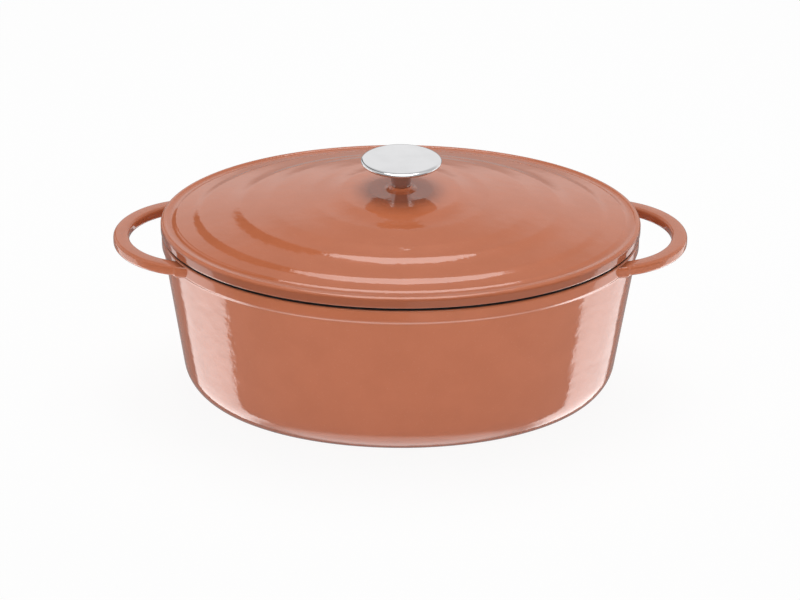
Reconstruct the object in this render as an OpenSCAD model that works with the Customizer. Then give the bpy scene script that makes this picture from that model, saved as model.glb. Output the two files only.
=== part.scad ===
// Oval cast iron casserole: an enamelled pot with two loop handles, and a rippled lid with a steel knob.
// Millimetres. The origin is the centre of the pot's base, +X runs through both handles and +Z is up.

/* [Oval] */
// Length of the rim, along X, without the handles
rim_length = 330; // [280:2:380]
// Width of the rim, along Y
rim_width = 260; // [220:2:300]
// Number of straight sides that stand for one oval
oval_sides = 72; // [48:4:96]

/* [Pot] */
// Height of the seat that the lid rests on
seat_height = 119.5; // [90:0.5:150]
// Thickness of the wall
wall = 4.2; // [3:0.1:6]
// Thickness of the floor
floor_thickness = 4.6; // [3.5:0.1:8]
// Draft angle of the wall
wall_draft = 8.6; // [3:0.1:12]
// Outer radius between the wall and the base
base_radius = 27; // [15:1:35]
// How far the wall's outer face lies inside the rim's outline, at the seat's height
wall_inset = 0.2; // [0:0.1:1]

/* [Rim band] */
// Height of the thicker band round the rim
band_height = 10.2; // [6:0.5:16]
// How far the band's face lies inside the rim's outline
band_inset = 0.6; // [0.3:0.1:1.2]
// Height of the soft step below the band
band_step = 1.6; // [1:0.1:3]
// Rounding of the band's upper corner
band_round = 1.5; // [0.8:0.1:2]
// How far the seat stands above the band's upper corner
seat_rise = 0.4; // [0.2:0.1:2]
// Distance from the rim's outline to the outer edge of the seat
seat_inset = 3.6; // [3:0.1:5]
// Width of the seat
seat_width = 5; // [3:0.1:7]
// Rounding of the mouth's inner corner
mouth_round = 0.7; // [0.3:0.1:1.2]

/* [Handles] */
// How far a handle stands out from the rim's outline
handle_reach = 32.7; // [24:0.1:45]
// Outer radius of a handle's loop, seen from above
loop_radius = 59; // [45:1:70]
// Width of the handle's bar, seen from above
bar_width = 10.8; // [8:0.2:16]
// Height of the handle's bar
bar_height = 7.5; // [6:0.1:12]
// Rounding of the bar's edges
bar_round = 2.4; // [1:0.1:2.9]
// Distance from the seat down to the top of the handles
bar_drop = 1.4; // [0.5:0.1:4]
// How deep the handles' ends are sunk into the rim
bar_root = 4.4; // [3:0.1:6]

/* [Lid] */
// Height of the rolled edge's widest line above the seat
edge_height = 6.8; // [5:0.1:10]
// Radius of the rolled edge
edge_radius = 2.6; // [1.5:0.1:3.5]
// Rounding of the lid's lower edge
edge_round = 1.5; // [0.5:0.1:2]
// Rise of the lid from the groove inside its edge to the central flat
lid_rise = 22.8; // [14:0.2:32]
// How much steeper the lid grows towards its edge; 0 is a plain cone
lid_crown = 0.43; // [0:0.01:0.8]
// Thickness of the lid
lid_wall = 4.4; // [3.5:0.1:6]
// Gap between the lid's lower edge and the pot's band
edge_gap = 2; // [1:0.1:2.5]
// Distance from the lid's outline to the middle of the groove inside the rolled edge
groove_inset = 6; // [5:0.1:7]
// Depth of the groove inside the rolled edge
groove_depth = 0.8; // [0:0.1:1.5]
// Distance from the lid's outline to the shoulder above the groove
shoulder_inset = 9.9; // [9:0.1:12]
// Drop from the shoulder into the groove
shoulder_drop = 0.55; // [0.2:0.05:1.5]
// Width of the shoulder's slope
shoulder_run = 3.5; // [1.5:0.1:3.8]
// Depth of the locating ridge below the seat
ridge_depth = 5; // [3:0.1:8]
// Width of the locating ridge
ridge_width = 3.2; // [2:0.1:5]
// Clearance between the locating ridge and the pot's mouth
ridge_clearance = 1; // [0.5:0.1:2]

/* [Ripples] */
// Radius of the round flat in the lid's centre
flat_radius = 22.3; // [18:0.5:28]
// Half the length of the first ripple
ripple_1 = 43.4; // [38:0.1:50]
// How oval it is: 0 is a circle, 1 runs parallel to the rim
oval_1 = 0; // [0:0.01:1]
// Drop of the surface across it
drop_1 = 1.25; // [0.2:0.05:3]
// Half the length of the second ripple
ripple_2 = 63; // [59:0.1:74]
// How oval it is: 0 is a circle, 1 runs parallel to the rim
oval_2 = 0.05; // [0:0.01:1]
// Drop of the surface across it
drop_2 = 0.55; // [0.2:0.05:3]
// Half the length of the third ripple
ripple_3 = 91.7; // [84:0.1:96]
// How oval it is: 0 is a circle, 1 runs parallel to the rim
oval_3 = 0.39; // [0:0.01:1]
// Drop of the surface across it
drop_3 = 0.55; // [0.2:0.05:3]
// Half the length of the fourth ripple
ripple_4 = 111.5; // [107:0.1:121]
// How oval it is: 0 is a circle, 1 runs parallel to the rim
oval_4 = 0.63; // [0:0.01:1]
// Drop of the surface across it
drop_4 = 1.25; // [0.2:0.05:3]
// Half the length of the fifth ripple
ripple_5 = 140.2; // [132:0.1:143]
// How oval it is: 0 is a circle, 1 runs parallel to the rim
oval_5 = 0.86; // [0:0.01:1]
// Drop of the surface across it
drop_5 = 0.75; // [0.2:0.05:3]
// Width of a ripple's crest, on its inner side
crest_width = 4.5; // [1:0.1:5]
// Width of the concave slope outside a crest
foot_width = 15; // [6:0.5:16]
// Width of the concave slope outside the fifth crest
last_foot_width = 6; // [4:0.5:9]

/* [Boss] */
// Radius of the boss under the knob, at its top
boss_radius = 6.9; // [6:0.1:10]
// Radius of the boss at its foot
boss_foot = 11; // [11:0.5:16]
// Height of the boss above the central flat
boss_height = 2.5; // [1:0.1:5]
// Radius of the lid's hole for the screw
hole_radius = 3.3; // [2.6:0.1:4]

/* [Knob] */
// Radius of the knob's disc
disc_radius = 27.6; // [20:0.2:32]
// Height of the knob
knob_height = 20; // [17:0.5:28]
// Thickness of the disc at its edge
disc_edge = 3.4; // [2.5:0.1:5]
// Width of the rounded bevel between the disc's top and its edge
disc_bevel = 3.6; // [2:0.1:5]
// Rise of the disc's slightly domed top
disc_crown = 0.5; // [0.2:0.1:1.5]
// Radius of the stem under the disc
stem_top_radius = 7.8; // [7:0.1:10]
// Radius of the stem at its foot
stem_foot_radius = 6.4; // [5.6:0.1:6.8]
// Rounding of the stem's lower corner
stem_round = 0.8; // [0.3:0.1:1.2]

/* [Screw] */
// Radius of the screw's shank
screw_radius = 2.95; // [2.3:0.05:3.05]
// Radial clearance of the screw in the knob
screw_clearance = 0.05; // [0.03:0.01:0.1]
// How far the screw reaches into the knob
screw_reach = 8; // [6:0.5:10]
// Depth left free beyond the screw's tip
tip_gap = 2; // [1:0.5:3]
// Radius of the screw's head
head_radius = 5.6; // [5:0.1:7]
// Height of the screw's head
head_height = 3.4; // [2.5:0.1:4.5]
// Width of the slot across the head
slot_width = 1.4; // [1:0.1:2]
// Depth of the slot
slot_depth = 1.6; // [1:0.1:2]
// Radius of the washer
washer_radius = 8.5; // [7:0.5:10]
// Thickness of the washer
washer_thickness = 1.2; // [0.8:0.1:2]

/* [Hidden] */

ENAMEL = [0.73, 0.43, 0.33];
STEEL = [0.80, 0.81, 0.82];
ZINC = [0.68, 0.69, 0.70];

half_length = rim_length / 2;
half_width = rim_width / 2;
arc_steps = 6;
round_sides = 96;

// Heights and insets of the pot's rim
band_top = seat_height - seat_rise;
band_foot = seat_height - band_height;
mouth_inset = seat_inset + seat_width + mouth_round;
wall_slant = wall / cos(wall_draft);
mouth_foot = seat_height - (mouth_inset - wall_inset - wall_slant) / tan(wall_draft);

// Heights of the lid
edge_middle = seat_height + edge_height;
edge_foot = band_top + edge_gap;
groove_at = half_length - groove_inset;
groove_height = edge_middle + edge_radius - groove_depth;
flat_height = groove_height + lid_rise;
boss_top = flat_height + boss_height;
under_height = flat_height - lid_wall;
shoulder_at = half_length - shoulder_inset;
// Each ripple as [half length, ovalness, drop, width of its crest, width of its foot]
ripples = [
    [ripple_1, oval_1, drop_1, crest_width, foot_width],
    [ripple_2, oval_2, drop_2, crest_width, foot_width],
    [ripple_3, oval_3, drop_3, crest_width, foot_width],
    [ripple_4, oval_4, drop_4, crest_width, foot_width],
    [ripple_5, oval_5, drop_5, crest_width, last_foot_width],
    [shoulder_at, 1, shoulder_drop, 1, shoulder_run]
];
ripple_count = len(ripples);
ovalness = concat([[flat_radius, 0]], [for (r = ripples) [r[0], r[1]]]);
tread_fall = lid_rise - drop_1 - drop_2 - drop_3 - drop_4 - drop_5 - shoulder_drop;
ridge_outer = mouth_inset + ridge_clearance;
ridge_inner = ridge_outer + ridge_width;

// Handles
bar_middle = seat_height - bar_drop - bar_height / 2;
loop_centre = half_length + handle_reach - loop_radius;
loop_middle = loop_radius - bar_width / 2;

// Points of an arc between two angles, as [inset, height] pairs
function arc(centre, radius, from, to) = [
    for (k = [0 : arc_steps])
        let (a = from + (to - from) * k / arc_steps)
            [centre[0] + radius * cos(a), centre[1] + radius * sin(a)]
];

// Inset of the pot's outer face from the rim's outline, at a height
function wall_at(z) = wall_inset + (seat_height - z) * tan(wall_draft);

// Arc between the draft wall and a flat bottom, from the bottom up
function bottom_arc(radius, bottom, inset) = let (
        z = bottom + radius,
        centre = wall_at(z) + inset + radius / cos(wall_draft)
    ) arc([centre, z], radius, 270, 180 + wall_draft);

function reversed(list) = [for (k = [len(list) - 1 : -1 : 0]) list[k]];

// An oval that lies inside the rim's outline by an inset, at a height
function inset_oval(point) = [half_length - point[0], half_width - point[0], point[1]];

// The lid's ovals are circles in the middle and turn into the rim's oval towards the edge
function lid_half_width(a) = a - (half_length - half_width) * lookup(a, ovalness);

// Fall of the treads between the flat and the groove, from 0 to 1 and steeper towards the edge
function crown(v) = v + lid_crown * (v * v - v);

// Share of a ripple's drop that lies inside a distance from its crest
function crest_part(w) = pow(w, 3) - pow(w, 4) / 2;
function ripple_share(u, crest, foot) = 2 / (crest + foot) * (
    u < 0
        ? crest * crest_part(max(0, 1 + u / crest))
        : crest / 2 + foot * (0.5 - crest_part(max(0, 1 - u / foot)))
);

// Height of the lid's top at half the length of one of its ovals
function ripple_drops(a, k = 0) = k == ripple_count
    ? 0
    : ripples[k][2] * ripple_share(a - ripples[k][0], ripples[k][3], ripples[k][4]) + ripple_drops(a, k + 1);
function lid_top(a) = flat_height - ripple_drops(a)
    - tread_fall * crown(min(1, max(0, (a - flat_radius) / (groove_at - flat_radius))));

function lid_oval(a, z) = [a, lid_half_width(a), z];

// One closed solid through a list of ovals, each [half length, half width, height]
module oval_loft(ovals) {
    n = oval_sides;
    last = len(ovals) - 1;
    points = [
        for (o = ovals, i = [0 : n - 1])
            [o[0] * cos(360 * i / n), o[1] * sin(360 * i / n), o[2]]
    ];
    first_cap = [for (i = [0 : n - 1]) i];
    last_cap = [for (i = [n - 1 : -1 : 0]) last * n + i];
    sides = [
        for (k = [0 : last - 1], i = [0 : n - 1], half = [0, 1])
            let (a = k * n + i, b = k * n + (i + 1) % n)
                half == 0 ? [a, a + n, b] : [b, a + n, b + n]
    ];
    polyhedron(points, concat([first_cap, last_cap], sides), convexity = 6);
}

// Outline of the pot's casting, from its base up the outside, over the rim and down to its floor
function pot_outline() = concat(
    bottom_arc(base_radius, 0, 0),
    [
        [wall_at(band_foot), band_foot],
        [band_inset, band_foot + band_step],
        [band_inset, band_top - band_round],
        [band_inset + band_round * 0.3, band_top - band_round * 0.3],
        [band_inset + band_round, band_top],
        [seat_inset, seat_height],
        [seat_inset + seat_width, seat_height],
        [mouth_inset, seat_height - mouth_round],
        [mouth_inset, mouth_foot]
    ],
    reversed(bottom_arc(base_radius - wall, floor_thickness, wall_slant))
);

// Section of the handle's bar
module bar_section() {
    square([bar_width - 2 * bar_round, bar_height], center = true);
    square([bar_width, bar_height - 2 * bar_round], center = true);
    for (x = [-1, 1], y = [-1, 1])
        translate([x * (bar_width / 2 - bar_round), y * (bar_height / 2 - bar_round)])
            circle(bar_round, $fn = 32);
}

// Loop handle at the +X end: half a ring with straight legs, cut off inside the wall of the rim
module loop_handle() {
    difference() {
        translate([loop_centre, 0, bar_middle]) {
            rotate([0, 0, -90])
                rotate_extrude(angle = 180, $fn = round_sides)
                    translate([loop_middle, 0])
                        bar_section();
            for (y = [-loop_middle, loop_middle])
                translate([0, y, 0])
                    rotate([90, 0, -90])
                        linear_extrude(loop_centre)
                            bar_section();
        }
        translate([0, 0, bar_middle - bar_height])
            linear_extrude(2 * bar_height)
                oval_outline(bar_root);
    }
}

// Flat oval inside the rim's outline
module oval_outline(inset) {
    polygon([
        for (i = [0 : oval_sides - 1])
            let (a = 360 * i / oval_sides)
                [(half_length - inset) * cos(a), (half_width - inset) * sin(a)]
    ]);
}

module pot() {
    color(ENAMEL) {
        oval_loft([for (p = pot_outline()) inset_oval(p)]);
        for (turn = [0, 180])
            rotate([0, 0, turn])
                loop_handle();
    }
}

// Stations on the lid's top from the groove to the flat, close together on each ripple
function lid_stations() = concat(
    [groove_at, groove_at - 1],
    [for (t = [0.6, 0.2, 0]) shoulder_at + t * shoulder_run],
    [
        for (k = [ripple_count - 2 : -1 : 0])
            let (r = ripples[k], room = ripples[k + 1][0] - ripples[k + 1][3] - r[0])
                for (t = [1, 0.6, 0.25, 0, -1])
                    r[0] + (t < 0 ? -r[3] : t * min(r[4], room))
    ],
    [flat_radius + 4, flat_radius]
);

// Ovals of the lid, from its underside's centre out to the edge, over it and back to the boss
function lid_ovals() = concat(
    [lid_oval(flat_radius, under_height)],
    [
        for (k = [0 : ripple_count - 2])
            let (a = (ripples[k][0] + ripples[k + 1][0]) / 2)
                lid_oval(a, lid_top(a) - lid_wall)
    ],
    [
        for (p = concat(
            [
                [ridge_inner + 1, seat_height + 2],
                [ridge_inner, seat_height - ridge_depth + 1],
                [ridge_inner - 0.8, seat_height - ridge_depth],
                [ridge_outer + 0.8, seat_height - ridge_depth],
                [ridge_outer, seat_height - ridge_depth + 1],
                [ridge_outer, seat_height],
                [seat_inset, seat_height],
                [seat_inset - 0.6, edge_foot],
                [edge_round, edge_foot],
                [edge_round * 0.3, edge_foot + edge_round * 0.3],
                [0, edge_foot + edge_round]
            ],
            arc([edge_radius, edge_middle], edge_radius, 180, 55)
        )) inset_oval(p)
    ],
    [for (a = lid_stations()) lid_oval(a, lid_top(a))],
    [
        [boss_foot, boss_foot, flat_height],
        [boss_radius + 1.2, boss_radius + 1.2, flat_height + boss_height * 0.4],
        [boss_radius, boss_radius, boss_top]
    ]
);

module lid() {
    color(ENAMEL)
        difference() {
            oval_loft(lid_ovals());
            translate([0, 0, under_height - 1])
                cylinder(h = boss_top - under_height + 2, r = hole_radius, $fn = 48);
        }
}

// Knob: a turned disc on a stem that narrows towards the lid
module knob() {
    edge_top = knob_height - disc_crown - 0.4 * disc_edge;
    edge_low = knob_height - disc_crown - disc_edge;
    top_radius = disc_radius - disc_bevel;
    bore = screw_radius + screw_clearance;
    color(STEEL)
        translate([0, 0, boss_top])
            rotate_extrude($fn = round_sides)
                polygon(concat(
                    [
                        [bore, 0],
                        [stem_foot_radius - stem_round, 0],
                        [stem_foot_radius - stem_round * 0.3, stem_round * 0.3],
                        [stem_foot_radius, stem_round],
                        [stem_top_radius, edge_low - 4],
                        [stem_top_radius + 1.4, edge_low - 2.4],
                        [stem_top_radius + 4.5, edge_low - 1.4],
                        [disc_radius - 2.2, edge_low],
                        [disc_radius - 0.7, edge_low + 0.5],
                        [disc_radius, edge_low + 1.2]
                    ],
                    [
                        for (k = [0 : arc_steps])
                            let (a = 90 * k / arc_steps)
                                [
                                    top_radius + disc_bevel * cos(a),
                                    edge_top + (knob_height - disc_crown - edge_top) * sin(a)
                                ]
                    ],
                    [
                        for (k = [1 : arc_steps - 1])
                            let (r = top_radius * (1 - k / arc_steps))
                                [r, knob_height - disc_crown * pow(r / top_radius, 2)]
                    ],
                    [
                        [0, knob_height],
                        [0, screw_reach + tip_gap + bore * 0.6],
                        [bore, screw_reach + tip_gap]
                    ]
                ));
}

module knob_washer() {
    color(ZINC)
        translate([0, 0, under_height - washer_thickness])
            difference() {
                cylinder(h = washer_thickness, r = washer_radius, $fn = round_sides);
                translate([0, 0, -1])
                    cylinder(h = washer_thickness + 2, r = hole_radius, $fn = 48);
            }
}

// Screw with a slotted pan head, seated on the washer
module knob_screw() {
    seat = under_height - washer_thickness;
    color(ZINC)
        difference() {
            union() {
                translate([0, 0, seat - head_height])
                    rotate_extrude($fn = round_sides)
                        polygon([
                            [0, 0],
                            [head_radius - 2, 0],
                            [head_radius - 0.8, 0.5],
                            [head_radius, 1.8],
                            [head_radius, head_height],
                            [0, head_height]
                        ]);
                translate([0, 0, seat - head_height / 2])
                    cylinder(h = boss_top + screw_reach - seat + head_height / 2, r = screw_radius, $fn = 48);
            }
            translate([0, 0, seat - head_height + slot_depth / 2 - 0.5])
                cube([3 * head_radius, slot_width, slot_depth + 1], center = true);
        }
}

pot();
lid();
knob();
knob_screw();
knob_washer();
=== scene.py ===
"""Looks of the oval cast iron casserole: glossy enamel, polished steel knob and plain studio light."""
import math

import bpy
import numpy as np
from mathutils import Matrix

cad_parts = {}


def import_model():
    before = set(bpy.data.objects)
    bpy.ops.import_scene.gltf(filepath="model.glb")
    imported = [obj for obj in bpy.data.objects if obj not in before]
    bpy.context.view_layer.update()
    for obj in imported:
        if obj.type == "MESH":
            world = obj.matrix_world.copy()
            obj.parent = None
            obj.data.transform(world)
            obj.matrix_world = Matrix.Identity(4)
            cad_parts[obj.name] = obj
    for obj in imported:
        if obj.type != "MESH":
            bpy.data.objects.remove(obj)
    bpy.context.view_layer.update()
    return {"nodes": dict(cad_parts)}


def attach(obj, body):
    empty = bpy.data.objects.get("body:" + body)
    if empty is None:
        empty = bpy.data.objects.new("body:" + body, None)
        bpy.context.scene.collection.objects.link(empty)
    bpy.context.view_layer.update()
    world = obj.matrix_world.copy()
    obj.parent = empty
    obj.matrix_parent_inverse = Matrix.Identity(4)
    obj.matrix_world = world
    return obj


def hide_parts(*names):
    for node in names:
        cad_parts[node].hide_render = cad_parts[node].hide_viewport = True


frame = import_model()
MM = 0.001

# Sizes, in millimetres, as in the CAD part
HALF_LENGTH, HALF_WIDTH = 165.0, 130.0
SEAT_HEIGHT, WALL, FLOOR, DRAFT = 119.5, 4.2, 4.6, math.radians(8.6)
BASE_RADIUS, WALL_INSET = 27.0, 0.2
BAND_HEIGHT, BAND_INSET, BAND_STEP, BAND_ROUND = 10.2, 0.6, 1.6, 1.5
SEAT_RISE, SEAT_INSET, SEAT_WIDTH, MOUTH_ROUND = 0.4, 3.6, 5.0, 0.7
HANDLE_REACH, LOOP_RADIUS, BAR_WIDTH, BAR_HEIGHT, BAR_ROUND = 32.7, 59.0, 10.8, 7.5, 2.4
BAR_DROP = 1.4
EDGE_HEIGHT, EDGE_RADIUS, EDGE_ROUND, EDGE_GAP = 6.8, 2.6, 1.5, 2.0
LID_RISE, LID_CROWN, LID_WALL = 22.8, 0.43, 4.4
GROOVE_INSET, GROOVE_DEPTH, RIDGE_DEPTH, RIDGE_WIDTH, RIDGE_CLEARANCE = 6.0, 0.8, 5.0, 3.2, 1.0
FLAT_RADIUS = 22.3
# each ripple as half length, ovalness, drop, width of its crest and width of its foot; the last is the shoulder
RIPPLES = ((43.4, 0.0, 1.25, 4.5, 15.0), (63.0, 0.05, 0.55, 4.5, 15.0), (91.7, 0.39, 0.55, 4.5, 15.0),
           (111.5, 0.63, 1.25, 4.5, 15.0), (140.2, 0.86, 0.75, 4.5, 6.0), (HALF_LENGTH - 9.9, 1.0, 0.55, 1.0, 3.5))
BOSS_RADIUS, BOSS_FOOT, BOSS_HEIGHT, HOLE_RADIUS = 6.9, 11.0, 2.5, 3.3
DISC_RADIUS, KNOB_HEIGHT, DISC_EDGE, DISC_BEVEL, DISC_CROWN = 27.6, 20.0, 3.4, 3.6, 0.5
STEM_TOP, STEM_FOOT, STEM_ROUND, BORE, BORE_DEPTH = 7.8, 6.4, 0.8, 3.0, 10.0

WALL_SLANT = WALL / math.cos(DRAFT)
BAND_TOP = SEAT_HEIGHT - SEAT_RISE
BAND_FOOT = SEAT_HEIGHT - BAND_HEIGHT
MOUTH_INSET = SEAT_INSET + SEAT_WIDTH + MOUTH_ROUND
MOUTH_FOOT = SEAT_HEIGHT - (MOUTH_INSET - WALL_INSET - WALL_SLANT) / math.tan(DRAFT)
EDGE_MIDDLE = SEAT_HEIGHT + EDGE_HEIGHT
EDGE_FOOT = BAND_TOP + EDGE_GAP
GROOVE_AT = HALF_LENGTH - GROOVE_INSET
GROOVE_TOP = EDGE_MIDDLE + EDGE_RADIUS - GROOVE_DEPTH
FLAT_TOP = GROOVE_TOP + LID_RISE
BOSS_TOP = FLAT_TOP + BOSS_HEIGHT
UNDER_TOP = FLAT_TOP - LID_WALL
TREAD_FALL = LID_RISE - sum(r[2] for r in RIPPLES)
RIDGE_OUTER = MOUTH_INSET + RIDGE_CLEARANCE
RIDGE_INNER = RIDGE_OUTER + RIDGE_WIDTH
BAR_MIDDLE = SEAT_HEIGHT - BAR_DROP - BAR_HEIGHT / 2
LOOP_CENTRE = HALF_LENGTH + HANDLE_REACH - LOOP_RADIUS
LOOP_MIDDLE = LOOP_RADIUS - BAR_WIDTH / 2

SIDES = 288


# Curves and meshes
def arc(centre, radius, start, end, steps):
    """Points of an arc from one angle to another, in degrees."""
    angles = [math.radians(start + (end - start) * k / steps) for k in range(steps + 1)]
    return [(centre[0] + radius * math.cos(a), centre[1] + radius * math.sin(a)) for a in angles]


def soften(points, cuts, steps=5):
    """The line through the points, with the corner at each one rounded over its cut length."""
    points = [np.array(p, float) for p in points]
    out = []
    for k, p in enumerate(points):
        cut = cuts[k]
        if not cut or k in (0, len(points) - 1):
            out.append(p)
            continue
        before, after = points[k - 1] - p, points[k + 1] - p
        a = p + before * min(cut / np.linalg.norm(before), 0.48)
        b = p + after * min(cut / np.linalg.norm(after), 0.48)
        for t in np.linspace(0, 1, steps + 1):
            out.append((1 - t) ** 2 * a + 2 * t * (1 - t) * p + t * t * b)
    return out


def make_mesh(name, points, faces, materials, indices=None):
    mesh = bpy.data.meshes.new(name)
    mesh.from_pydata([tuple(p) for p in np.asarray(points, float) * MM], [], faces)
    for material in materials:
        mesh.materials.append(material)
    if indices is not None:
        mesh.polygons.foreach_set("material_index", indices)
    mesh.shade_smooth()
    mesh.validate()
    mesh.update()
    piece = bpy.data.objects.new(name, mesh)
    bpy.context.scene.collection.objects.link(piece)
    return piece


def loft(rings, closed):
    """Faces between rings of equal length; a closed loft joins its last ring to its first."""
    rings = np.asarray(rings, float)
    count, sides = rings.shape[:2]
    faces, ring_of = [], []
    for k in range(count if closed else count - 1):
        here, there = k * sides, ((k + 1) % count) * sides
        for i in range(sides):
            j = (i + 1) % sides
            faces.append((here + i, here + j, there + j, there + i))
            ring_of.append(k)
    return rings.reshape(-1, 3), faces, ring_of


def oval_ring(a, b, z, sides=SIDES):
    turn = np.arange(sides) * 2 * math.pi / sides
    return np.stack([a * np.cos(turn), b * np.sin(turn), np.full(sides, float(z))], 1)


def inset_oval(point):
    return (HALF_LENGTH - point[0], HALF_WIDTH - point[0], point[1])


def wall_at(z):
    return WALL_INSET + (SEAT_HEIGHT - z) * math.tan(DRAFT)


def bottom_arc(radius, bottom, inset, steps=14):
    z = bottom + radius
    centre = wall_at(z) + inset + radius / math.cos(DRAFT)
    return arc((centre, z), radius, 270, 180 + math.degrees(DRAFT), steps)


# Node helpers
class Nodes:
    """A material's or world's node tree, with short calls for the nodes that the looks need."""

    def __init__(self, tree):
        self.tree = tree
        self.surface = None
        tree.nodes.clear()

    def add(self, kind, **values):
        node = self.tree.nodes.new(kind)
        for key, value in values.items():
            setattr(node, key, value)
        return node

    def link(self, source, target):
        self.tree.links.new(source, target)

    def put(self, socket, value):
        if isinstance(value, bpy.types.NodeSocket):
            self.link(value, socket)
        else:
            socket.default_value = value

    def math(self, operation, a, b=0.0, clamp=False):
        node = self.add("ShaderNodeMath", operation=operation, use_clamp=clamp)
        self.put(node.inputs[0], a)
        self.put(node.inputs[1], b)
        return node.outputs[0]

    def ramp(self, value, low, high, to_low=0.0, to_high=1.0, smooth=True):
        node = self.add("ShaderNodeMapRange", interpolation_type="SMOOTHSTEP" if smooth else "LINEAR")
        self.put(node.inputs["Value"], value)
        for key, number in (("From Min", low), ("From Max", high), ("To Min", to_low), ("To Max", to_high)):
            self.put(node.inputs[key], number)
        return node.outputs["Result"]

    def mix(self, factor, a, b):
        node = self.add("ShaderNodeMix", data_type="RGBA")
        self.put(node.inputs["Factor"], factor)
        self.put(node.inputs[6], a)
        self.put(node.inputs[7], b)
        return node.outputs[2]

    def noise(self, vector, scale, detail=2.0, roughness=0.5):
        node = self.add("ShaderNodeTexNoise")
        self.link(vector, node.inputs["Vector"])
        node.inputs["Scale"].default_value = scale
        node.inputs["Detail"].default_value = detail
        node.inputs["Roughness"].default_value = roughness
        return node.outputs["Fac"]

    def bump(self, height, strength, distance, normal=None):
        node = self.add("ShaderNodeBump")
        node.inputs["Strength"].default_value = strength
        node.inputs["Distance"].default_value = distance
        self.link(height, node.inputs["Height"])
        if normal is not None:
            self.link(normal, node.inputs["Normal"])
        return node.outputs["Normal"]


def new_material(name):
    material = bpy.data.materials.new(name)
    material.use_nodes = True
    nodes = Nodes(material.node_tree)
    shader = nodes.add("ShaderNodeBsdfPrincipled")
    output = nodes.add("ShaderNodeOutputMaterial")
    nodes.surface = output.inputs["Surface"]
    nodes.link(shader.outputs[0], nodes.surface)
    place = nodes.add("ShaderNodeTexCoord").outputs["Object"]
    return material, nodes, shader, place


def linear(red, green, blue):
    """Linear colour of an sRGB colour written from 0 to 255."""
    def one(v):
        v /= 255
        return v / 12.92 if v <= 0.04045 else ((v + 0.055) / 1.055) ** 2.4
    return (one(red), one(green), one(blue), 1.0)


def enamel_material(name, thick, thin, waviness, edge=None):
    """Glassy enamel over rough iron: a soft waviness, a faint mottle and an almost clear gloss.

    An edge is a height and a darker colour: below that height the colour turns darker."""
    material, nodes, shader, place = new_material(name)
    mottle = nodes.noise(place, 38.0, 3.0, 0.55)
    grain = nodes.noise(place, 900.0, 2.0, 0.6)
    colour = nodes.mix(nodes.ramp(mottle, 0.3, 0.7), thick, thin)
    colour = nodes.mix(nodes.ramp(grain, 0.62, 0.78, 0.0, 0.12), colour, (0.75, 0.45, 0.30, 1.0))
    if edge:
        # the colour turns darker below the given height
        height, dark = edge
        split = nodes.add("ShaderNodeSeparateXYZ")
        nodes.link(place, split.inputs[0])
        colour = nodes.mix(nodes.ramp(split.outputs[2], height * MM, (height + 2.2) * MM, 1.0, 0.0), colour, dark)
    nodes.link(colour, shader.inputs["Base Color"])
    nodes.link(nodes.ramp(mottle, 0.25, 0.75, 0.05, 0.085), shader.inputs["Roughness"])
    shader.inputs["IOR"].default_value = 1.5
    wave = nodes.noise(place, 120.0, 2.0, 0.45)
    normal = nodes.bump(wave, waviness, 0.001)
    fine = nodes.noise(place, 420.0, 1.0, 0.5)
    nodes.link(nodes.bump(fine, waviness * 0.5, 0.0003, normal), shader.inputs["Normal"])
    return material


def rim_material():
    """Bare matt rim: the ground iron under a thin grey-black ground coat; it is also laid on the faces round the gap
    under the lid as painted shade.
    """
    material, nodes, shader, place = new_material("rim_matt_and_gap_shade")
    spots = nodes.noise(place, 260.0, 4.0, 0.6)
    colour = nodes.mix(nodes.ramp(spots, 0.35, 0.7), (0.020, 0.017, 0.016, 1), (0.050, 0.044, 0.040, 1))
    nodes.link(colour, shader.inputs["Base Color"])
    nodes.link(nodes.ramp(spots, 0.3, 0.7, 0.45, 0.62), shader.inputs["Roughness"])
    nodes.link(nodes.bump(nodes.noise(place, 1500.0, 3.0, 0.6), 0.35, 0.0002), shader.inputs["Normal"])
    return material


def steel_material(name, colour, roughness, grain):
    """Steel with a faint turned grain round the vertical axis."""
    material, nodes, shader, place = new_material(name)
    shader.inputs["Metallic"].default_value = 1.0
    split = nodes.add("ShaderNodeSeparateXYZ")
    nodes.link(place, split.inputs[0])
    radius = nodes.math("SQRT", nodes.math("ADD", nodes.math("MULTIPLY", split.outputs[0], split.outputs[0]),
                                           nodes.math("MULTIPLY", split.outputs[1], split.outputs[1])))
    join = nodes.add("ShaderNodeCombineXYZ")
    nodes.link(radius, join.inputs[0])
    nodes.link(split.outputs[2], join.inputs[1])
    rings = nodes.noise(join.outputs[0], 5200.0, 2.0, 0.6)
    cloud = nodes.noise(place, 60.0, 2.0, 0.5)
    shade = nodes.mix(nodes.ramp(cloud, 0.3, 0.7, 0.0, 1.0), colour, tuple(c * 0.95 for c in colour[:3]) + (1.0,))
    nodes.link(shade, shader.inputs["Base Color"])
    nodes.link(nodes.ramp(rings, 0.2, 0.8, roughness * 0.7, roughness * 1.3), shader.inputs["Roughness"])
    nodes.link(nodes.bump(rings, grain, 0.00003), shader.inputs["Normal"])
    return material


ENAMEL = enamel_material("enamel_orange", linear(182, 103, 69), linear(186, 106, 72), 0.16)
LID_ENAMEL = enamel_material("enamel_orange_lid", linear(182, 103, 69), linear(186, 106, 72), 0.16,
                             (EDGE_MIDDLE, linear(156, 85, 56)))
CREAM = enamel_material("enamel_cream", linear(222, 208, 180), linear(228, 215, 190), 0.12)
# the dark rim colour, also laid on the faces round the gap under the lid as painted shade
RIM_AND_GAP_SHADE = rim_material()
POLISHED = steel_material("steel_polished", (0.72, 0.72, 0.73, 1.0), 0.05, 0.02)
ZINC = steel_material("steel_zinc", (0.62, 0.63, 0.64, 1.0), 0.30, 0.15)


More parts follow.
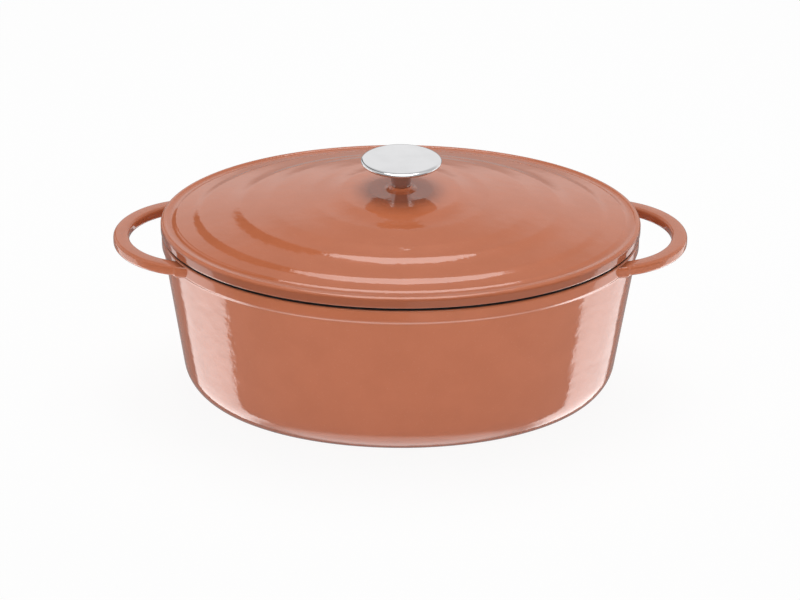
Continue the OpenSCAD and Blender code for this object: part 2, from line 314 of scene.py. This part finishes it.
# Pot
def pot_rings():
    """Rings of the pot from the middle of its base up the outside, over the rim and down to the floor."""
    outer = bottom_arc(BASE_RADIUS, 0, 0)
    wall_up = [(wall_at(z), z) for z in np.linspace(outer[-1][1], BAND_FOOT - 1.5, 10)[1:]]
    rim = soften(
        [wall_up[-1], (wall_at(BAND_FOOT), BAND_FOOT), (BAND_INSET, BAND_FOOT + BAND_STEP),
         (BAND_INSET, BAND_TOP - BAND_ROUND * 0.4), (BAND_INSET + BAND_ROUND * 0.8, BAND_TOP),
         (SEAT_INSET, SEAT_HEIGHT), (SEAT_INSET + SEAT_WIDTH, SEAT_HEIGHT), (MOUTH_INSET, SEAT_HEIGHT - MOUTH_ROUND),
         (MOUTH_INSET, MOUTH_FOOT), (wall_at(MOUTH_FOOT - 6) + WALL_SLANT, MOUTH_FOOT - 6)],
        [0, 1.2, 1.0, 0.9, 0.9, 0.4, 0.4, 0.4, 2.0, 0], 5)[1:]
    inner = bottom_arc(BASE_RADIUS - WALL, FLOOR, WALL_SLANT)[::-1]
    wall_down = [(wall_at(z) + WALL_SLANT, z) for z in np.linspace(MOUTH_FOOT - 6, inner[0][1], 8)[1:-1]]
    profile = outer + wall_up + [tuple(p) for p in rim] + wall_down + inner
    ovals = [inset_oval(p) for p in profile]
    base, floor = ovals[0], ovals[-1]
    ovals = [(base[0] * s, base[1] * s, 0.0) for s in (0.004, 0.25, 0.6, 0.9, 0.98)] + ovals
    ovals += [(floor[0] * s, floor[1] * s, FLOOR) for s in (0.98, 0.9, 0.6, 0.25, 0.004)]
    return ovals


def pot_piece():
    ovals = pot_rings()
    points, faces, ring_of = loft([oval_ring(*o) for o in ovals], False)
    count = len(ovals)
    faces.append(tuple(reversed(range(SIDES))))
    faces.append(tuple((count - 1) * SIDES + i for i in range(SIDES)))
    top = max(range(count), key=lambda k: ovals[k][2])
    indices = []
    for k in ring_of:
        z = (ovals[k][2] + ovals[k + 1][2]) / 2
        a = (ovals[k][0] + ovals[k + 1][0]) / 2
        on_seat = z > SEAT_HEIGHT - 0.3 and a < HALF_LENGTH - SEAT_INSET + 0.3
        # the slope from the band up to the seat gets the dark rim colour too, as painted shade in the gap under the
        # lid
        rise_painted_shade = k < top and z > BAND_TOP - 0.3 and a < HALF_LENGTH - BAND_INSET - 1.1
        indices.append(2 if on_seat or rise_painted_shade else (0 if k < top else 1))
    return make_mesh("pot_body", points, faces, [ENAMEL, CREAM, RIM_AND_GAP_SHADE], indices + [0, 1])


def bar_profile(steps=6):
    """Outline of the bar's section, [towards the outside, up], with flat top and outer faces."""
    out = []
    half, tall, r = BAR_WIDTH / 2, BAR_HEIGHT / 2, BAR_ROUND
    for cx, cy, start in ((half - r, tall - r, 0), (-half + r, tall - r, 90), (-half + r, -tall + r, 180),
                          (half - r, -tall + r, 270)):
        out += arc((cx, cy), r, start, start + 90, steps)
    return out


def handle_piece(name, side):
    """A loop: half a ring that widens softly where it grows out of the rim."""
    section = np.array(bar_profile())
    reach = 84.0
    turns = np.radians(np.linspace(-reach, reach, 169))
    flare = 2.2
    rings = []
    for t in turns:
        x, y = LOOP_CENTRE + LOOP_MIDDLE * math.cos(t), LOOP_MIDDLE * math.sin(t)
        depth = (math.hypot(x / (HALF_LENGTH - BAND_INSET), y / (HALF_WIDTH - BAND_INSET)) - 1) * 150
        near = max(0.0, min(1.0, 1 - (depth - 1.0) / flare))
        grow = flare * (1 - math.sqrt(max(0.0, 1 - near * near))) if depth > -2 else flare
        size = np.hypot(section[:, 0], section[:, 1])[:, None]
        wide = section * (1 + 0.6 * grow / size)
        wide[:, 1] = np.minimum(wide[:, 1], BAR_HEIGHT / 2)
        ring = [((LOOP_CENTRE + (LOOP_MIDDLE + u) * math.cos(t)) * side, (LOOP_MIDDLE + u) * math.sin(t) * side,
                 BAR_MIDDLE + v) for u, v in wide]
        rings.append(ring)
    points, faces, _ = loft(rings, False)
    sides = len(section)
    faces.append(tuple(reversed(range(sides))))
    faces.append(tuple((len(rings) - 1) * sides + i for i in range(sides)))
    return make_mesh(name, points, faces, [ENAMEL])


# Lid
def ovalness_slopes():
    """Slopes for a smooth, never turning curve through the ripples' ovalness."""
    at = [0.0, FLAT_RADIUS] + [r[0] for r in RIPPLES] + [HALF_LENGTH]
    value = [0.0, 0.0] + [r[1] for r in RIPPLES] + [1.0]
    rate = [(value[k + 1] - value[k]) / (at[k + 1] - at[k]) for k in range(len(at) - 1)]
    slope = [0.0] * len(at)
    for k in range(1, len(at) - 1):
        if rate[k - 1] > 0 and rate[k] > 0:
            slope[k] = 2 * rate[k - 1] * rate[k] / (rate[k - 1] + rate[k])
    return at, value, slope


OVAL_AT, OVAL_VALUE, OVAL_SLOPE = ovalness_slopes()


def lid_half_width(a):
    """The lid's ovals are circles in the middle and turn into the rim's oval towards the edge."""
    k = max(0, min(len(OVAL_AT) - 2, int(np.searchsorted(OVAL_AT, a, side="right")) - 1))
    span = OVAL_AT[k + 1] - OVAL_AT[k]
    t = min(1.0, max(0.0, (a - OVAL_AT[k]) / span))
    value = ((2 * t ** 3 - 3 * t ** 2 + 1) * OVAL_VALUE[k] + (t ** 3 - 2 * t ** 2 + t) * span * OVAL_SLOPE[k]
             + (3 * t ** 2 - 2 * t ** 3) * OVAL_VALUE[k + 1] + (t ** 3 - t ** 2) * span * OVAL_SLOPE[k + 1])
    return a - (HALF_LENGTH - HALF_WIDTH) * value


def crest_part(w):
    return w ** 3 - w ** 4 / 2


def ripple_share(u, crest, foot):
    """Share of a ripple's drop that lies inside a distance from its crest."""
    if u < 0:
        part = crest * crest_part(max(0.0, 1 + u / crest))
    else:
        part = crest / 2 + foot * (0.5 - crest_part(max(0.0, 1 - u / foot)))
    return 2 * part / (crest + foot)


def lid_top(a):
    v = min(1.0, max(0.0, (a - FLAT_RADIUS) / (GROOVE_AT - FLAT_RADIUS)))
    steps = sum(drop * ripple_share(a - r, crest, foot) for r, _, drop, crest, foot in RIPPLES)
    return FLAT_TOP - steps - TREAD_FALL * (v + LID_CROWN * (v * v - v))


def lid_oval(a, z):
    return (a, lid_half_width(a), z)


def lid_rings():
    """Ovals of the lid from its hole out along the underside, round the edge and back over the top."""
    under = [lid_oval(FLAT_RADIUS, UNDER_TOP)]
    for k in range(len(RIPPLES) - 1):
        a = (RIPPLES[k][0] + RIPPLES[k + 1][0]) / 2
        under.append(lid_oval(a, lid_top(a) - LID_WALL))
    rim = [inset_oval(p) for p in (
        (RIDGE_INNER + 1, SEAT_HEIGHT + 2), (RIDGE_INNER, SEAT_HEIGHT - RIDGE_DEPTH + 1),
        (RIDGE_INNER - 0.8, SEAT_HEIGHT - RIDGE_DEPTH), (RIDGE_OUTER + 0.8, SEAT_HEIGHT - RIDGE_DEPTH),
        (RIDGE_OUTER, SEAT_HEIGHT - RIDGE_DEPTH + 1), (RIDGE_OUTER, SEAT_HEIGHT), (SEAT_INSET, SEAT_HEIGHT),
        (SEAT_INSET - 0.6, EDGE_FOOT), (0, EDGE_FOOT))]
    edge = [inset_oval(p) for p in arc((EDGE_RADIUS, EDGE_MIDDLE), EDGE_RADIUS, 180, 55, 16)]
    groove = [lid_oval(GROOVE_AT, GROOVE_TOP), lid_oval(GROOVE_AT - 1.2, lid_top(GROOVE_AT - 1.2))]
    hole = [(HOLE_RADIUS, HOLE_RADIUS, UNDER_TOP), (12.0, 12.0, UNDER_TOP)]
    rim_cuts = [1.5, 0.7, 0.5, 0.5, 0.7, 0.3, 0.3, 0.4, EDGE_ROUND, 0]
    start = soften(hole + under + rim + edge[:1], [0, 0, 0] + [6] * (len(RIPPLES) - 1) + rim_cuts, 5)[:-1]
    over = soften([edge[-2], edge[-1]] + groove, [0, 0.5, 1.1, 0], 5)[1:]
    flat = np.concatenate([np.arange(GROOVE_AT - 1.5, GROOVE_AT - 9.0, -0.3),
                           np.arange(GROOVE_AT - 9.4, BOSS_FOOT + 1.5, -0.7)])
    top = [lid_oval(a, lid_top(a)) for a in flat]
    boss = soften([(BOSS_FOOT + 1.2, BOSS_FOOT + 1.2, FLAT_TOP), (BOSS_FOOT, BOSS_FOOT, FLAT_TOP),
                   (BOSS_RADIUS + 1.2, BOSS_RADIUS + 1.2, FLAT_TOP + BOSS_HEIGHT * 0.4),
                   (BOSS_RADIUS, BOSS_RADIUS, BOSS_TOP), (HOLE_RADIUS, HOLE_RADIUS, BOSS_TOP)],
                  [0, 1.0, 1.0, 0.35, 0], 5)
    return [tuple(p) for p in start], edge[:-1], [tuple(p) for p in over] + top + [tuple(p) for p in boss]


def lid_piece():
    start, edge, over = lid_rings()
    ovals = start + edge + over
    points, faces, ring_of = loft([oval_ring(*o) for o in ovals], True)
    indices = []
    for k in ring_of:
        a = ovals[k][0]
        # the lid's seat is bare; the underside beyond the seat gets the dark rim colour as painted shade in the gap
        on_seat = HALF_LENGTH - MOUTH_INSET < a < HALF_LENGTH - 0.9 and ovals[k][2] < EDGE_FOOT + 0.35
        indices.append(2 if on_seat and k < len(start) else (1 if k < len(start) - 6 else 0))
    return make_mesh("lid_body", points, faces, [LID_ENAMEL, CREAM, RIM_AND_GAP_SHADE], indices)


# Knob
def knob_piece():
    edge_top = KNOB_HEIGHT - DISC_CROWN - 0.4 * DISC_EDGE
    edge_low = KNOB_HEIGHT - DISC_CROWN - DISC_EDGE
    top_radius = DISC_RADIUS - DISC_BEVEL
    lower = soften(
        [(BORE, 0), (STEM_FOOT - STEM_ROUND * 0.2, 0), (STEM_FOOT, STEM_ROUND * 0.7), (STEM_TOP, edge_low - 4),
         (STEM_TOP + 1.4, edge_low - 2.4), (STEM_TOP + 4.5, edge_low - 1.4), (DISC_RADIUS - 2.2, edge_low),
         (DISC_RADIUS - 0.7, edge_low + 0.5), (DISC_RADIUS, edge_low + 1.2), (DISC_RADIUS, edge_top)],
        [0, 0.3, 0.5, 1.4, 1.4, 1.6, 0.6, 0.4, 0.5, 0], 5)
    bevel = [(top_radius + DISC_BEVEL * math.cos(a), edge_top + (KNOB_HEIGHT - DISC_CROWN - edge_top) * math.sin(a))
             for a in np.linspace(0, math.pi / 2, 15)[1:]]
    crown = [(r, KNOB_HEIGHT - DISC_CROWN * (r / top_radius) ** 2)
             for r in top_radius * (1 - np.linspace(0, 0.995, 18)[1:])]
    outside = [tuple(p) for p in lower] + bevel + crown
    bore = [(0.1, BORE_DEPTH + BORE * 0.6), (BORE, BORE_DEPTH)]
    sides = 160
    rings = [oval_ring(r, r, BOSS_TOP + z, sides) for r, z in outside]
    points, faces, _ = loft(rings, False)
    first = len(points)
    tube = [oval_ring(r, r, BOSS_TOP + z, sides) for r, z in bore]
    points = np.concatenate([points] + tube)
    for here, there in ((first, first + sides), (first + sides, 0)):
        faces += [(here + i, here + (i + 1) % sides, there + (i + 1) % sides, there + i) for i in range(sides)]
    faces.append(tuple((len(rings) - 1) * sides + i for i in range(sides)))
    faces.append(tuple(reversed(range(first, first + sides))))
    return make_mesh("knob_turned", points, faces, [POLISHED])


pot = pot_piece()
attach(pot, "root")
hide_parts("pot")
for handle_name, handle_side in (("handle_right", 1), ("handle_left", -1)):
    handle = handle_piece(handle_name, handle_side)
    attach(handle, "root")
    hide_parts("pot")
lid = lid_piece()
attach(lid, "root")
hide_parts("lid")
knob = knob_piece()
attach(knob, "root")
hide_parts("knob")
for node in ("knob_screw", "knob_washer"):
    carried = frame["nodes"][node]
    for slot in carried.material_slots:
        slot.material = ZINC


# Floor, light and camera
PAPER_WHITE = 0.92
CAMERA_DISTANCE, CAMERA_AIM_HEIGHT, CAMERA_FOCAL, PICTURE_WIDTH = 2600.0, 126.37, 3778.9, 800


def floor_piece():
    bpy.ops.mesh.primitive_plane_add(size=14.0, location=(0, 0, -0.0001))
    floor = bpy.context.object
    floor.name = "studio_floor"
    material, nodes, shader, place = new_material("studio_paper")
    cloud = nodes.noise(place, 3.0, 2.0, 0.5)
    nodes.link(nodes.mix(cloud, (0.92, 0.92, 0.92, 1), (0.94, 0.94, 0.94, 1)), shader.inputs["Base Color"])
    shader.inputs["Roughness"].default_value = 0.9
    shader.inputs["Specular IOR Level"].default_value = 0.0
    # the camera sees the paper almost white, so only a faint shadow is left on it
    path = nodes.add("ShaderNodeLightPath")
    glow = nodes.add("ShaderNodeEmission")
    blend = nodes.add("ShaderNodeMixShader")
    nodes.link(nodes.math("MULTIPLY", path.outputs["Is Camera Ray"], PAPER_WHITE), blend.inputs[0])
    nodes.link(shader.outputs[0], blend.inputs[1])
    nodes.link(glow.outputs[0], blend.inputs[2])
    nodes.link(blend.outputs[0], nodes.surface)
    floor.data.materials.clear()
    floor.data.materials.append(material)
    floor.visible_glossy = False


def world():
    """White to the camera and soft ambient light; gloss sees a pale room with a softbox and two tall panels."""
    studio = bpy.data.worlds.new("studio")
    bpy.context.scene.world = studio
    studio.use_nodes = True
    nodes = Nodes(studio.node_tree)
    direction = nodes.add("ShaderNodeTexCoord").outputs["Generated"]
    split = nodes.add("ShaderNodeSeparateXYZ")
    nodes.link(direction, split.inputs[0])
    x, y, z = split.outputs

    def both(a, b):
        return nodes.math("MULTIPLY", a, b)

    # the room: pale, dimmer low down behind the pot, with a dark upright gap on the left
    low = both(nodes.ramp(z, 0.02, 0.20, 1.0, 0.0), nodes.ramp(y, 0.2, 0.5))
    slant = nodes.math("ADD", x, both(nodes.math("SUBTRACT", y, 0.6), 0.18))
    gap = both(both(nodes.ramp(slant, -0.345, -0.315), nodes.ramp(slant, -0.215, -0.175, 1.0, 0.0)),
               both(nodes.ramp(y, -0.1, 0.1), nodes.ramp(z, 0.1, 0.2)))
    room = both(both(1.15, nodes.ramp(low, 0.0, 1.0, 1.0, 0.42, smooth=False)),
                nodes.ramp(gap, 0.0, 1.0, 1.0, 0.05, smooth=False))
    # dark behind the camera, lower on the left than on the right
    left_low = both(nodes.ramp(z, -0.54, -0.46), nodes.ramp(x, 0.0, 0.10, 0.55, 0.0))
    lower = nodes.math("MAXIMUM", nodes.ramp(z, -0.30, -0.12), left_low)
    front = both(nodes.ramp(y, -0.35, -0.05, 1.0, 0.0), both(lower, nodes.ramp(z, 0.50, 0.62, 1.0, 0.0)))
    room = both(room, nodes.ramp(front, 0.0, 1.0, 1.0, 0.18, smooth=False))
    room = both(room, nodes.ramp(z, -0.30, -0.12, 0.80, 1.0))
    # palest near the horizon, dimmer above it
    room = both(room, both(nodes.ramp(z, 0.46, 0.66, 1.12, 0.72), nodes.ramp(z, 0.72, 0.86, 1.0, 1.32)))
    # the lit floor right under the pot
    room = nodes.math("ADD", room, nodes.ramp(z, -0.96, -0.86, 1.9, 0.0))
    # the softbox overhead, on a level plane
    height = nodes.math("MAXIMUM", z, 0.05)
    across, along = nodes.math("DIVIDE", x, height), nodes.math("DIVIDE", y, height)
    box = both(both(nodes.ramp(across, -0.285, -0.265), nodes.ramp(across, 0.295, 0.315, 1.0, 0.0)),
               both(nodes.ramp(along, -0.60, -0.55), nodes.ramp(along, 0.51, 0.53, 1.0, 0.0)))
    box = both(box, nodes.ramp(z, 0.3, 0.4))
    # the two tall panels beside the camera, seen only below the horizon
    azimuth = nodes.math("ARCTAN2", x, y)
    left = both(nodes.ramp(azimuth, -1.62, -1.54), nodes.ramp(azimuth, -0.80, -0.72, 1.0, 0.0))
    right = both(nodes.ramp(azimuth, 0.60, 0.68), nodes.ramp(azimuth, 1.46, 1.54, 1.0, 0.0))
    tall = both(nodes.ramp(z, -0.90, -0.80), nodes.ramp(z, -0.10, 0.0, 1.0, 0.0))
    panels = both(nodes.math("ADD", left, right), tall)
    steep = nodes.ramp(z, -0.62, -0.50, 5.0, 2.2, smooth=False)
    gloss = nodes.math("ADD", nodes.math("ADD", room, both(box, 5.4)), both(panels, steep))
    path = nodes.add("ShaderNodeLightPath")
    # the ambient light: strongest low down and towards the camera, weak straight above
    low_down = nodes.math("POWER", nodes.ramp(z, 0.0, 1.0, 1.0, 0.0, smooth=False), 2.0)
    ambient = both(nodes.math("ADD", 0.1, both(2.5, low_down)), nodes.ramp(y, -1.0, 1.0, 1.45, 0.60, smooth=False))
    shade = nodes.add("ShaderNodeMix", data_type="FLOAT")
    nodes.link(path.outputs["Is Glossy Ray"], shade.inputs["Factor"])
    nodes.link(ambient, shade.inputs["A"])
    nodes.link(gloss, shade.inputs["B"])
    seen = nodes.add("ShaderNodeMix", data_type="FLOAT")
    nodes.link(path.outputs["Is Camera Ray"], seen.inputs["Factor"])
    nodes.link(shade.outputs["Result"], seen.inputs["A"])
    seen.inputs["B"].default_value = 1.0
    background = nodes.add("ShaderNodeBackground")
    nodes.link(seen.outputs["Result"], background.inputs["Strength"])
    output = nodes.add("ShaderNodeOutputWorld")
    nodes.link(background.outputs[0], output.inputs["Surface"])


def softbox(name, place, target, width, height, power):
    light = bpy.data.lights.new(name, "AREA")
    light.shape = "RECTANGLE"
    light.size, light.size_y = width, height
    light.energy = power
    lamp = bpy.data.objects.new(name, light)
    bpy.context.scene.collection.objects.link(lamp)
    aim = np.array(target, float) - np.array(place, float)
    aim /= np.linalg.norm(aim)
    side = np.cross(aim, (0, 0, 1.0) if abs(aim[2]) < 0.98 else (0, 1.0, 0))
    side /= np.linalg.norm(side)
    up = np.cross(side, aim)
    lamp.matrix_world = Matrix(((side[0], up[0], -aim[0], place[0]), (side[1], up[1], -aim[1], place[1]),
                                (side[2], up[2], -aim[2], place[2]), (0, 0, 0, 1)))
    return lamp


def camera():
    """Long lens from the front, a little above; its place was fitted to the outlines in the photograph."""
    distance, rise, pitch = CAMERA_DISTANCE * MM, 0.4208, 0.4417
    roll, yaw = 0.0095, 0.0226
    ahead = distance * math.cos(rise)
    data = bpy.data.cameras.new("camera")
    data.sensor_fit = "HORIZONTAL"
    data.sensor_width = 36.0
    data.lens = CAMERA_FOCAL * data.sensor_width / PICTURE_WIDTH
    data.clip_end = 50.0
    seer = bpy.data.objects.new("camera", data)
    bpy.context.scene.collection.objects.link(seer)
    height = CAMERA_AIM_HEIGHT * MM + distance * math.sin(rise)
    place = Matrix.Translation((-math.sin(yaw) * ahead, -math.cos(yaw) * ahead, height))
    seer.matrix_world = (place @ Matrix.Rotation(-yaw, 4, "Z") @ Matrix.Rotation(math.pi / 2 - pitch, 4, "X")
                         @ Matrix.Rotation(roll, 4, "Z"))
    bpy.context.scene.camera = seer


floor_piece()
world()
overhead = softbox("overhead", (0.05, 0.25, 1.50), (0.0, 0.0, 0.12), 0.9, 1.1, 14.0)
overhead.visible_glossy = False
camera()
bpy.context.scene.view_settings.view_transform = "Standard"
